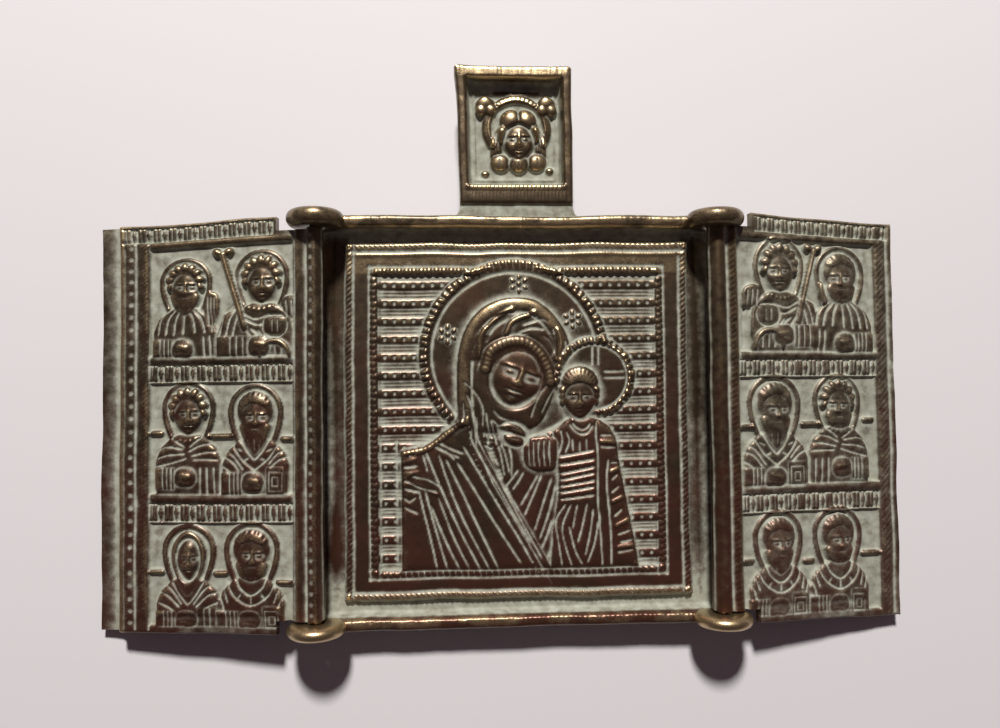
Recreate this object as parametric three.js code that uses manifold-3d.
// Folding travel icon: a cast brass centre panel with a headpiece, and two wings that fold over it
// on short pins. It lies open on its back, propped at the head end by its hanging loop.
// Millimetres. Each panel is drawn in its own frame: x to the right, y up the icon and z out of
// its front. The centre panel's back is the plane z = 0.

import * as THREE from 'three';
import { mergeVertices } from 'three/addons/utils/BufferGeometryUtils.js';
import Module from 'manifold-3d';

const wasm = await Module();
wasm.setup();

// Centre panel
const panel_width = 51;
const panel_height = 52.4;
const tray_thickness = 1.6;
const side_edge_thickness = 1.0;
const side_bevel_width = 1.5;
const rim_height = 3.9;
const rim_width = 1.3;
const rim_slope_width = 0.7;
const rim_round = 0.5;
const tablet_width = 46;
const tablet_height = 46.8;
const tablet_rise = 0.6;
const tablet_bevel = 0.5;
const bead_border_width = 1.4;
const bead_border_rise = 0.35;
const bead_frame_width = 39.2;
const bead_frame_height = 40.6;
const picture_depth = 0.35;

// Headpiece
const head_width = 14.9;
const head_length = 18.6;
const head_neck_length = 1.9;
const head_frame_height = 3.5;
const head_floor_thickness = 1.4;
const head_side_bar = 1.15;
const head_top_bar = 1.45;
const head_bottom_bar = 2.0;
const head_halo_radius = 4.15;
const head_corner_boss_radius = 1.15;
const head_corner_fillet = 1.4;

// Hinges
const hinge_overhang = 0.5;
const closed_gap = 0.3;
const lug_radius = 3.7;
const lug_thickness = 2.2;
const lug_round = 0.9;
const lug_hole_radius = 1.0;
const pin_radius = 0.7;
const pin_seat_depth = 2.2;
const pin_clearance = 0.1;
const hinge_bar_radius = 1.45;
const hinge_bar_reach = 2.6;
const hinge_bar_rim_gap = 0.2;
const hinge_end_gap = 0.3;

// Wings
const wing_overhang = 0.3;
const wing_seam = 1.0;
const wing_thickness = 1.3;
const wing_front_rise = 0.7;
const wing_field_depth = 0.55;
const wing_outer_taper = 0.5;
const left_top_taper = 1.2;
const wing_notch_clearance = 1.3;
const wing_outer_border = 2.2;
const left_border_width = 3.9;
const bead_column_offset = 1.7;
const rail_width = 0.45;
const rail_rise = 0.2;
const lap_width = 2.8;
const lap_thickness = 1.0;
const lap_seat_width = 1.9;
const lap_gap = 0.15;
const left_droop_degrees = 6.0;
const right_droop_degrees = 8.6;

// Hanging loop on the back of the headpiece
const loop_depth = 4.6;
const loop_length = 6.4;
const loop_wire = 1.5;
const loop_sink = 0.6;

// Relief
const relief_rise = 0.5;
const halo_wire = 0.42;
const wing_halo_radius = 3.45;
const fold_width = 0.55;
const fold_rise = 0.28;
const overrun = 0.5;

// Places on the picture as shares of its half width and half height
const mother_halo_shares = [-0.05, 0.5];
const mother_halo_radius_share = 0.645;
const mother_face_shares = [0.0, 0.355, 0.185, 0.235];
const mother_hood_shares = [-0.02, 0.4, 0.39, 0.45];
const child_halo_shares = [0.565, 0.297];
const child_halo_radius_share = 0.286;
const child_head_shares = [0.445, 0.2, 0.15, 0.178];
const head_tilt = -0.28;
const mother_robe_shares = [
  [-0.84, -1.0], [-0.84, -0.17], [-0.63, -0.12], [-0.42, -0.04], [-0.4, 0.24], [-0.36, 0.5],
  [-0.12, 0.72], [0.16, 0.7], [0.34, 0.52], [0.4, 0.3], [0.3, 0.12], [0.24, -0.1], [0.3, -1.0],
];
const child_robe_shares = [
  [0.22, -1.0], [0.26, -0.62], [0.27, -0.1], [0.34, 0.0], [0.44, 0.03], [0.56, 0.03], [0.68, -0.02],
  [0.74, -0.2], [0.82, -0.55], [0.86, -1.0],
];
const sleeve_shares = [
  [0.02, -0.08], [0.06, -0.26], [0.3, -0.3], [0.34, -0.02], [0.14, -0.04],
];
const hand_shares = [[-0.02, -0.02, 0.08, 0.07], [0.06, -0.07, 0.07, 0.06]];
const robe_fold_shares = [
  [-0.38, -0.16, 0.14, -0.98], [-0.3, -0.02, 0.27, -0.98], [-0.5, -0.2, 0.0, -0.98],
  [-0.62, -0.2, -0.14, -0.98], [-0.66, -0.4, -0.28, -0.98], [-0.72, -0.5, -0.42, -0.98],
  [-0.4, 0.3, -0.38, -0.04], [-0.28, 0.22, -0.3, -0.02], [0.18, 0.22, 0.1, -0.02],
  [-0.6, -0.14, -0.38, -0.26],
];
const child_fold_shares = [
  [0.3, -0.28, 0.56, -0.28], [0.3, -0.36, 0.56, -0.36], [0.3, -0.44, 0.56, -0.44],
  [0.42, -0.5, 0.34, -0.98], [0.5, -0.5, 0.46, -0.98], [0.62, -0.1, 0.66, -0.98],
  [0.72, -0.3, 0.78, -0.98],
];
const ground_band_share = 0.5;
const ground_bands = 13;
const ground_left_shares = [-0.97, -0.66];
const ground_right_shares = [0.84, 0.97];
const ground_upper_left_share = -0.6;

// Rows of the wings, as shares of half the wing's height: lower edge, upper edge
const row_shares = [[0.325, 0.885], [-0.335, 0.205], [-0.945, -0.465]];

// Figures of the left wing: reach and height of the halo as shares of the wing, its radius as a
// share of the halo's named one, and the form: 0 bearded with a book, 1 winged, 2 hooded
const left_figure_shares = [
  [0.657, 0.685, 0.96, 0], [0.27, 0.71, 1.0, 1], [0.64, 0.077, 0.96, 0],
  [0.3, 0.06, 1.0, 0], [0.636, -0.603, 0.96, 2], [0.32, -0.597, 1.0, 0],
];
const right_figure_shares = [
  [0.343, 0.758, 1.04, 1], [0.696, 0.726, 1.06, 0], [0.302, 0.068, 1.1, 0],
  [0.663, 0.081, 1.02, 0], [0.306, -0.593, 1.02, 0], [0.647, -0.587, 1.05, 0],
];

// A bust, across as shares of its halo's radius and up as shares of the way to the row's foot
const bust_shares = [
  [-1.22, -1.0], [-1.2, -0.62], [-0.95, -0.42], [-0.4, -0.3], [0.4, -0.3], [0.95, -0.42],
  [1.2, -0.62], [1.22, -1.0],
];
const face_shares = [0.42, 0.56];
const hair_shares = [0.58, 0.62];
const beard_shares = [0.36, 0.42, -0.42];
const palm_shares = [0.5, -0.8, 0.3, 0.22];
const book_shares = [0.55, -0.9, 0.75, 0.5];
const orb_share = 0.55;
const feather_shares = [[-1.5, -0.9], [-1.35, -0.3], [-1.05, -0.2], [-0.95, -0.5], [-1.1, -0.95]];
const staff_shares = [1.45, 1.1, 0.55, -0.85];
const bust_fold_shares = [[-0.85, -0.5, -0.35, -0.95], [-0.5, -0.4, -0.1, -0.95], [0.75, -0.48, 0.2, -0.95]];

// Facets around the round forms
const round_sides = 20;
const large_halo_sides = 40;
const halo_sides = 20;
const wire_sides = 5;
const dome_sides = 10;
const dome_rows = 6;

// A closed mesh becomes a solid that can be cut and joined.
function solid(geometry) {
  const bare = geometry.index ? geometry.toNonIndexed() : geometry.clone();
  bare.deleteAttribute('normal');
  bare.deleteAttribute('uv');
  const merged = mergeVertices(bare, 1e-4);
  const vertProperties = new Float32Array(merged.attributes.position.array);
  const triVerts = new Uint32Array(merged.index.array);
  return new wasm.Manifold(new wasm.Mesh({ numProp: 3, vertProperties, triVerts }));
}

function join(pieces) {
  return pieces.reduce((whole, piece) => whole.add(piece));
}

// A box between two corners
function block(x0, x1, y0, y1, z0, z1) {
  const box = new THREE.BoxGeometry(x1 - x0, y1 - y0, z1 - z0);
  box.translate((x0 + x1) / 2, (y0 + y1) / 2, (z0 + z1) / 2);
  return solid(box);
}

// An outline raised from z0 to z1, its front edge bevelled
function slab(points, z0, z1, bevel) {
  const shape = new THREE.Shape(points.map(([x, y]) => new THREE.Vector2(x, y)));
  const geometry = new THREE.ExtrudeGeometry(shape, {
    depth: z1 - z0 - bevel,
    bevelEnabled: bevel > 0,
    bevelThickness: bevel,
    bevelSize: bevel,
    bevelOffset: -bevel,
    bevelSegments: 1,
  });
  geometry.translate(0, 0, z0);
  return solid(geometry);
}

// An upright section through y and z, drawn along x
function beam(section, x0, x1) {
  const shape = new THREE.Shape(section.map(([y, z]) => new THREE.Vector2(y, z)));
  const geometry = new THREE.ExtrudeGeometry(shape, { depth: x1 - x0, bevelEnabled: false });
  const turn = new THREE.Matrix4().set(0, 0, 1, x0, 1, 0, 0, 0, 0, 1, 0, 0, 0, 0, 0, 1);
  geometry.applyMatrix4(turn);
  return solid(geometry);
}

// An egg-shaped swelling with its middle at x, y, z
function dome(x, y, z, rx, ry, rz, tilt = 0) {
  const geometry = new THREE.SphereGeometry(1, dome_sides, dome_rows);
  geometry.rotateX(Math.PI / 2);
  geometry.scale(rx, ry, rz);
  geometry.rotateZ(tilt);
  geometry.translate(x, y, z);
  return solid(geometry);
}

// A round wire lying flat: the rim of a halo
function halo_rim(x, y, z, radius, wire, sides = halo_sides) {
  const geometry = new THREE.TorusGeometry(radius - wire, wire, wire_sides, sides);
  geometry.rotateZ(Math.PI / sides);
  geometry.translate(x, y, z);
  return solid(geometry);
}

function disc(x, y, radius, z0, z1, sides = halo_sides) {
  const geometry = new THREE.CylinderGeometry(radius, radius, z1 - z0, sides);
  geometry.rotateX(Math.PI / 2);
  geometry.translate(x, y, (z0 + z1) / 2);
  return solid(geometry);
}

// A straight ridge of triangular section from one place to another
function fold([x0, y0], [x1, y1], z0, width, rise) {
  const length = Math.hypot(x1 - x0, y1 - y0);
  const section = new THREE.Shape([
    new THREE.Vector2(-width / 2, 0),
    new THREE.Vector2(width / 2, 0),
    new THREE.Vector2(0, rise),
  ]);
  const geometry = new THREE.ExtrudeGeometry(section, { depth: length, bevelEnabled: false });
  geometry.rotateX(Math.PI / 2);
  geometry.rotateZ(Math.PI + Math.atan2(y1 - y0, x1 - x0) - Math.PI / 2);
  geometry.translate(x0, y0, z0);
  return solid(geometry);
}

// A cylinder along y
function rod(x, z, radius, y0, y1) {
  const geometry = new THREE.CylinderGeometry(radius, radius, y1 - y0, round_sides);
  geometry.translate(x, (y0 + y1) / 2, z);
  return solid(geometry);
}

const half_panel = panel_height / 2;
const half_wing = half_panel + wing_overhang;
const hinge_axis_offset = panel_width / 2 + hinge_overhang;
const hinge_axis_height = rim_height + closed_gap + wing_front_rise;
const hinge_bar_half = half_panel - rim_width - hinge_bar_rim_gap;
const wing_reach = hinge_axis_offset - wing_seam / 2;
const wing_notch_reach = lug_radius + wing_notch_clearance;
const wing_back = wing_front_rise - wing_thickness;
const wing_floor = wing_front_rise - wing_field_depth;
const picture_floor = tray_thickness + tablet_rise - picture_depth;
const picture_half_width = bead_frame_width / 2 - bead_border_width;
const picture_half_height = bead_frame_height / 2 - bead_border_width;

const on_picture = ([x, y]) => [x * picture_half_width, y * picture_half_height];

// The tray between the deep top and bottom rims, with sides that slope off under the hinge bars
function tray() {
  const lip = half_panel - rim_width;
  const foot = lip - rim_slope_width;
  const section = [
    [-half_panel, 0], [half_panel, 0], [half_panel, rim_height - rim_round],
    [half_panel - rim_round, rim_height], [lip, rim_height], [foot, tray_thickness],
    [-foot, tray_thickness], [-lip, rim_height], [-half_panel + rim_round, rim_height],
    [-half_panel, rim_height - rim_round],
  ];
  const body = beam(section, -panel_width / 2, panel_width / 2);
  return [-1, 1].reduce((whole, side) => {
    const outer = side * (panel_width / 2 + overrun);
    const drop = (tray_thickness - side_edge_thickness) / side_bevel_width;
    const bevel = new THREE.Shape([
      new THREE.Vector2(side * (panel_width / 2 - side_bevel_width), tray_thickness),
      new THREE.Vector2(side * (panel_width / 2 - side_bevel_width), rim_height + overrun),
      new THREE.Vector2(outer, rim_height + overrun),
      new THREE.Vector2(outer, side_edge_thickness - drop * overrun),
    ]);
    const geometry = new THREE.ExtrudeGeometry(bevel, { depth: 2 * foot, bevelEnabled: false });
    geometry.rotateX(Math.PI / 2);
    geometry.translate(0, foot, 0);
    return whole.subtract(solid(geometry));
  }, body);
}

// The raised tablet with its bevelled edge, the beaded border and the sunk picture ground
function tablet() {
  const top = tray_thickness + tablet_rise;
  const rectangle = (w, h) => [[-w, -h], [w, -h], [w, h], [-w, h]];
  const plate = slab(rectangle(tablet_width / 2, tablet_height / 2), tray_thickness / 2, top, tablet_bevel);
  const border = slab(
    rectangle(bead_frame_width / 2, bead_frame_height / 2), tray_thickness / 2,
    top + bead_border_rise, bead_border_rise);
  const ground = block(-picture_half_width, picture_half_width, -picture_half_height,
    picture_half_height, picture_floor, top + bead_border_rise + overrun);
  return [plate.add(border), ground];
}

// Bands across the ground on both sides of the figures
function ground() {
  const pitch = 2 * picture_half_height / ground_bands;
  const thickness = pitch * ground_band_share;
  const bands = [];
  for (let row = 0; row < ground_bands; row += 1) {
    const y = -picture_half_height + pitch * (row + ground_band_share);
    const top = picture_floor + fold_rise;
    const left = row < ground_bands / 2 ? ground_left_shares[1] - fold_width / picture_half_width
      : ground_upper_left_share;
    for (const [from, to] of [[ground_left_shares[0], left], ground_right_shares]) {
      bands.push(block(from * picture_half_width, to * picture_half_width,
        y - thickness / 2, y + thickness / 2, tray_thickness, top));
    }
  }
  return bands;
}

// The mother and child: haloes, hood, robes, faces, hands and folds
function picture() {
  const base = tray_thickness;
  const robe_top = picture_floor + relief_rise;
  const [hx, hy] = on_picture(mother_halo_shares);
  const halo = mother_halo_radius_share * picture_half_width;
  const [cx, cy] = on_picture(child_halo_shares);
  const child_halo = child_halo_radius_share * picture_half_width;
  const egg = ([x, y, rx, ry], z, rise, tilt) => {
    const [px, py] = on_picture([x, y]);
    return dome(px, py, z, rx * picture_half_width, ry * picture_half_height, rise, tilt);
  };
  const ridge = ([x0, y0, x1, y1]) => fold(on_picture([x0, y0]), on_picture([x1, y1]),
    robe_top - fold_rise / 2, fold_width, fold_rise);
  const figures = [
    disc(hx, hy, halo, base, picture_floor + relief_rise / 2, large_halo_sides),
    halo_rim(hx, hy, picture_floor + relief_rise / 2, halo, halo_wire, large_halo_sides),
    disc(cx, cy, child_halo, base, robe_top),
    halo_rim(cx, cy, robe_top, child_halo, halo_wire),
    slab(mother_robe_shares.map(on_picture), base, robe_top, fold_rise),
    slab(child_robe_shares.map(on_picture), base, robe_top + fold_rise, fold_rise),
    slab(sleeve_shares.map(on_picture), base, robe_top + fold_rise, fold_rise),
    egg(mother_hood_shares, picture_floor, relief_rise * 2, head_tilt),
    egg(mother_face_shares, robe_top, relief_rise + fold_rise, head_tilt),
    egg(child_head_shares, robe_top, relief_rise + fold_rise, 0),
    ...hand_shares.map((hand) => egg(hand, robe_top, relief_rise, 0)),
    ...robe_fold_shares.map(ridge),
    ...child_fold_shares.map(([x0, y0, x1, y1]) => fold(on_picture([x0, y0]), on_picture([x1, y1]),
      robe_top + fold_rise / 2, fold_width, fold_rise)),
  ];
  return join(figures);
}

// The framed headpiece with a haloed head, and the fillets at its neck
function headpiece() {
  const foot = half_panel - rim_width / 2;
  const low = half_panel + head_neck_length;
  const top = half_panel + head_neck_length + head_length;
  const half = head_width / 2;
  const outline = [
    [-half - head_corner_fillet, half_panel - rim_round], [half + head_corner_fillet, half_panel - rim_round],
    [half + head_corner_fillet / 4, half_panel + head_corner_fillet / 4],
    [half, half_panel + head_corner_fillet], [half, top], [-half, top],
    [-half, half_panel + head_corner_fillet],
    [-half - head_corner_fillet / 4, half_panel + head_corner_fillet / 4],
  ];
  const neck = slab(outline, 0, head_floor_thickness + relief_rise, 0);
  const frame = block(-half, half, low, top, 0, head_frame_height);
  const tie = block(-half, half, foot, low, 0, head_floor_thickness);
  const well = block(-half + head_side_bar, half - head_side_bar, low + head_bottom_bar,
    top - head_top_bar, head_floor_thickness, head_frame_height + overrun);
  const middle = (low + head_bottom_bar + top - head_top_bar) / 2;
  const eye_line = middle + head_halo_radius / 4;
  const well_half = half - head_side_bar - head_corner_boss_radius;
  const well_top = top - head_top_bar - head_corner_boss_radius * 2;
  const floor = head_floor_thickness;
  const forms = [
    disc(0, eye_line, head_halo_radius - halo_wire, floor / 2, floor + fold_rise),
    halo_rim(0, eye_line, floor + fold_rise, head_halo_radius, halo_wire),
    dome(0, eye_line, floor, head_halo_radius * hair_shares[0], head_halo_radius * hair_shares[1],
      relief_rise * 2),
    dome(0, eye_line - head_halo_radius / 6, floor + relief_rise, head_halo_radius * face_shares[0],
      head_halo_radius * face_shares[1], relief_rise * 2),
  ];
  for (const side of [-1, 1]) {
    forms.push(dome(side * (well_half - fold_width / 2), well_top, floor, head_corner_boss_radius,
      head_corner_boss_radius, relief_rise * 2));
    forms.push(dome(side * head_halo_radius / 2, eye_line - head_halo_radius, floor,
      head_halo_radius / 4, head_halo_radius / 2, relief_rise * 1.5));
  }
  forms.push(dome(0, eye_line - head_halo_radius, floor, head_halo_radius / 4, head_halo_radius / 3,
    relief_rise * 2));
  return join([neck, frame, tie]).subtract(well).add(join(forms));
}

// One rounded hinge lug, turned about the pin's axis, with its round nose and worn edges
function lug(side, end) {
  const half = lug_thickness / 2;
  const profile = [new THREE.Vector2(lug_hole_radius, -half)];
  const steps = 4;
  for (const sign of [-1, 1]) {
    for (let step = 0; step <= steps; step += 1) {
      const share = sign < 0 ? step / steps : 1 - step / steps;
      const angle = share * Math.PI / 2;
      profile.push(new THREE.Vector2(
        lug_radius - lug_round * (1 - Math.sin(angle)),
        sign * (half - lug_round * (1 - Math.cos(angle)))));
    }
  }
  profile.push(new THREE.Vector2(lug_hole_radius, half), new THREE.Vector2(lug_hole_radius, -half));
  const geometry = new THREE.LatheGeometry(profile, round_sides);
  geometry.translate(side * hinge_axis_offset, end * (hinge_bar_half + hinge_end_gap + half),
    hinge_axis_height);
  return solid(geometry);
}

// The hanging loop: a round wire arch whose feet are sunk in the back
function hanging_loop() {
  const middle = loop_middle();
  const run = loop_length / 2 - loop_wire / 2;
  const depth = loop_depth - loop_wire / 2;
  const path = new THREE.CatmullRomCurve3([
    new THREE.Vector3(0, middle - run, loop_sink),
    new THREE.Vector3(0, middle - run, -depth / 3),
    new THREE.Vector3(0, middle - run / 2, -depth * 0.9),
    new THREE.Vector3(0, middle, -depth),
    new THREE.Vector3(0, middle + run / 2, -depth * 0.9),
    new THREE.Vector3(0, middle + run, -depth / 3),
    new THREE.Vector3(0, middle + run, loop_sink),
  ]);
  const section = new THREE.Shape().absarc(0, 0, loop_wire / 2, 0, Math.PI * 2);
  const geometry = new THREE.ExtrudeGeometry(section, {
    steps: round_sides,
    curveSegments: dome_sides / 2,
    extrudePath: path,
  });
  return solid(geometry);
}

function loop_middle() {
  return half_panel + head_neck_length + head_length / 2;
}

// Where a wing's outer edge ends below the head end: the left wing falls away further
function outer_top(side) {
  return half_wing - (side < 0 ? left_top_taper : wing_outer_taper);
}

// The wing's plate with its notched corners, and its fields sunk between bands
function wing_plate(side) {
  const bar_end = hinge_bar_half;
  const outer_foot = half_wing - wing_outer_taper;
  const outline = [
    [0, -bar_end], [wing_notch_reach, -bar_end], [wing_notch_reach, -half_wing], [wing_reach, -outer_foot],
    [wing_reach, outer_top(side)], [wing_notch_reach, half_wing], [wing_notch_reach, bar_end], [0, bar_end],
  ].map(([reach, y]) => [side * reach, y]);
  const plate = slab(side < 0 ? outline.reverse() : outline, wing_back, wing_front_rise, 0);
  const inner = hinge_bar_reach;
  const edge = wing_reach - (side < 0 ? left_border_width : wing_outer_border);
  const wells = row_shares.map(([low, high]) => {
    const across = [side * inner, side * edge].sort((a, b) => a - b);
    return block(across[0], across[1], low * half_wing, high * half_wing,
      wing_floor, wing_front_rise + hinge_bar_radius);
  });
  return [plate, join(wells)];
}

// The rounded bar along the hinge, bored at both ends for its pins
function hinge_bar(side) {
  const half = hinge_bar_half;
  const drum = rod(0, 0, hinge_bar_radius, -half, half);
  const cheek = side > 0 ? [0, hinge_bar_reach] : [-hinge_bar_reach, 0];
  const flank = block(cheek[0], cheek[1], -half, half, wing_back, hinge_bar_radius - rail_rise * 2);
  const seats = [-1, 1].map((end) => {
    const ends = [end * (half - pin_seat_depth), end * (half + overrun)].sort((a, b) => a - b);
    return rod(0, 0, pin_radius + pin_clearance, ends[0], ends[1]);
  });
  return [drum.add(flank), join(seats)];
}

// A half-length figure in front of its halo
function figure(side, [reach, height, size, form], row) {
  const radius = wing_halo_radius * size;
  const x = side * reach * wing_reach;
  const y = height * half_wing;
  const foot = y - row[0] * half_wing;
  const base = wing_floor - wing_field_depth / 2;
  const top = wing_front_rise - fold_rise / 2;
  const at = ([across, up]) => [x + across * radius, y + up * foot];
  const forms = [
    halo_rim(x, y, wing_floor, radius, halo_wire),
    slab(bust_shares.map(at), base, top, fold_rise),
    dome(x, y, wing_floor, radius * hair_shares[0], radius * hair_shares[1], wing_field_depth),
    dome(x, y - radius / 6, wing_floor, radius * face_shares[0], radius * face_shares[1],
      wing_field_depth * 1.25),
    dome(...at(palm_shares), top - fold_rise, radius * palm_shares[2], radius * palm_shares[3],
      fold_rise * 1.5),
    ...bust_fold_shares.map(([x0, y0, x1, y1]) => fold(at([x0, y0]), at([x1, y1]),
      top - fold_rise / 2, fold_width, fold_rise)),
  ];
  if (form === 0) {
    const [bx, by] = at(book_shares);
    const page = radius * book_shares[2] / 2;
    forms.push(block(bx, bx + page, by, by + page, base, top + fold_rise / 2));
    forms.push(dome(x, y + radius * beard_shares[2], wing_floor, radius * beard_shares[0],
      radius * beard_shares[1], wing_field_depth));
  }
  if (form === 1) {
    for (const hand of [-1, 1]) {
      const feather = feather_shares.map(([across, up]) => at([hand * across, up]));
      forms.push(slab(hand < 0 ? feather.reverse() : feather, base, top - fold_rise, 0));
    }
    const [ox, oy] = at([side * orb_share * -1, -1 + orb_share / 2]);
    forms.push(disc(ox, oy, radius * orb_share - halo_wire, base, top));
    forms.push(halo_rim(ox, oy, top - halo_wire / 2, radius * orb_share, halo_wire));
    const lean = [staff_shares[0], staff_shares[2]].map((share) => share * (side < 0 ? -1 : 1));
    forms.push(fold([x + lean[0] * radius, y + staff_shares[1] * radius],
      [x + lean[1] * radius, y + staff_shares[3] * foot], wing_floor, fold_width, wing_field_depth));
  }
  return join(forms);
}

// Slim rails beside the bead column and along the outer edge
function rails(side) {
  const half = half_wing - wing_outer_taper;
  const lines = side < 0
    ? [rail_width, bead_column_offset + rail_width * 2, left_border_width - rail_width]
    : [rail_width, wing_outer_border - rail_width];
  return lines.map((inset) => {
    const x = side * (wing_reach - inset);
    return block(x - rail_width / 2, x + rail_width / 2, -half, outer_top(side), 0,
      wing_front_rise + rail_rise / 2);
  });
}

// The lap strip: a thin step behind the left wing's edge that covers the seam when it is closed
function lap_strip() {
  const front = wing_back - lap_gap;
  const half = half_wing - wing_outer_taper;
  const top = outer_top(-1);
  const edge = wing_reach + lap_width;
  return block(-edge, -wing_reach + lap_seat_width, -half, top, front - lap_thickness, front)
    .add(block(-wing_reach, -wing_reach + lap_seat_width, -half, top, front - lap_gap, 0));
}

function wing(side, figures) {
  const [plate, wells] = wing_plate(side);
  const [bar, seats] = hinge_bar(side);
  const busts = figures.map((one, place) => figure(side, one, row_shares[Math.floor(place / 2)]));
  const pieces = [...busts, bar, ...rails(side)];
  if (side < 0) pieces.push(lap_strip());
  return plate.subtract(wells).add(join(pieces)).subtract(seats);
}

function centre_panel() {
  const [raised, sunk] = tablet();
  const lugs = [-1, 1].flatMap((side) => [-1, 1].map((end) => lug(side, end)));
  const face = tray().add(raised).subtract(sunk);
  return join([face, ...ground(), picture(), headpiece(), hanging_loop(), ...lugs]);
}

// One pin, from its seat in the bar's end to the lug's outer face
function pin(end) {
  const inner = end * (hinge_bar_half - pin_seat_depth + pin_clearance);
  const outer = end * (hinge_bar_half + hinge_end_gap + lug_thickness - pin_clearance);
  return rod(0, 0, pin_radius, Math.min(inner, outer), Math.max(inner, outer));
}

function named_mesh(name, piece, material) {
  const { vertProperties, triVerts } = piece.getMesh();
  const geometry = new THREE.BufferGeometry();
  geometry.setAttribute('position', new THREE.BufferAttribute(new Float32Array(vertProperties), 3));
  geometry.setIndex(new THREE.BufferAttribute(new Uint32Array(triVerts), 1));
  geometry.computeVertexNormals();
  const mesh = new THREE.Mesh(geometry, material);
  mesh.name = name;
  return mesh;
}

const dark_brass = new THREE.MeshStandardMaterial({ color: 0x5a4630, roughness: 0.42, metalness: 0.85 });
const wing_brass = new THREE.MeshStandardMaterial({ color: 0x5f4b36, roughness: 0.45, metalness: 0.85 });
const pin_brass = new THREE.MeshStandardMaterial({ color: 0x8a6a3c, roughness: 0.35, metalness: 0.9 });

const icon = new THREE.Group();
icon.rotation.x = Math.atan2(loop_depth, loop_middle() + half_panel);
icon.add(named_mesh('centre_panel', centre_panel(), dark_brass));

for (const [side, name, droop, figures] of [
  [-1, 'left', left_droop_degrees, left_figure_shares],
  [1, 'right', right_droop_degrees, right_figure_shares],
]) {
  const leaf = new THREE.Group();
  leaf.position.set(side * hinge_axis_offset, 0, hinge_axis_height);
  leaf.rotation.y = side * THREE.MathUtils.degToRad(droop);
  leaf.add(named_mesh(`${name}_wing`, wing(side, figures), wing_brass));
  leaf.add(named_mesh(`${name}_top_pin`, pin(1), pin_brass));
  leaf.add(named_mesh(`${name}_bottom_pin`, pin(-1), pin_brass));
  icon.add(leaf);
}

export default icon;
